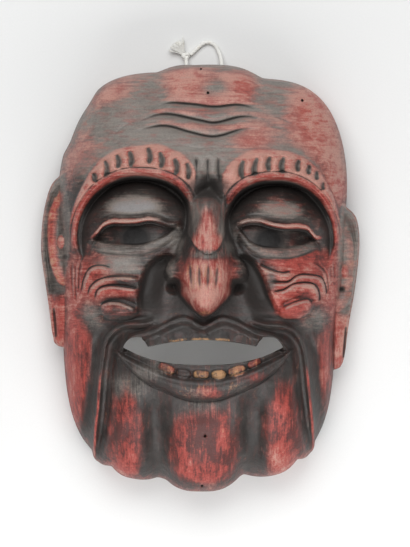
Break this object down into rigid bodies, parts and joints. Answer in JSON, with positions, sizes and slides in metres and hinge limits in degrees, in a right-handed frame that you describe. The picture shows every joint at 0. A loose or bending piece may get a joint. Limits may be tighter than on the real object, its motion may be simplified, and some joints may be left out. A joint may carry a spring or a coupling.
{
  "type": "carved theatre mask",
  "caption": "Carved and painted wooden theatre mask of a laughing old man with tufted brows, open mouth, drooping moustache, lobed beard and a knotted hanging cord.",
  "frame": {"origin": "middle of the mask's outline box, on the plane of its flat back rim", "axes": "+Z out of the face, +Y to the top of the head, +X to the right of a viewer facing the mask"},
  "size_m": [0.2, 0.2867, 0.1024],
  "materials": {
    "painted_wood": "rubbed vermilion over black lacquer, satin",
    "cotton": "matt twisted cotton"
  },
  "bodies": {
    "root": {"mask": "painted_wood", "hanging_cord": "cotton", "cord_knot": "cotton"}
  },
  "joints": []
}
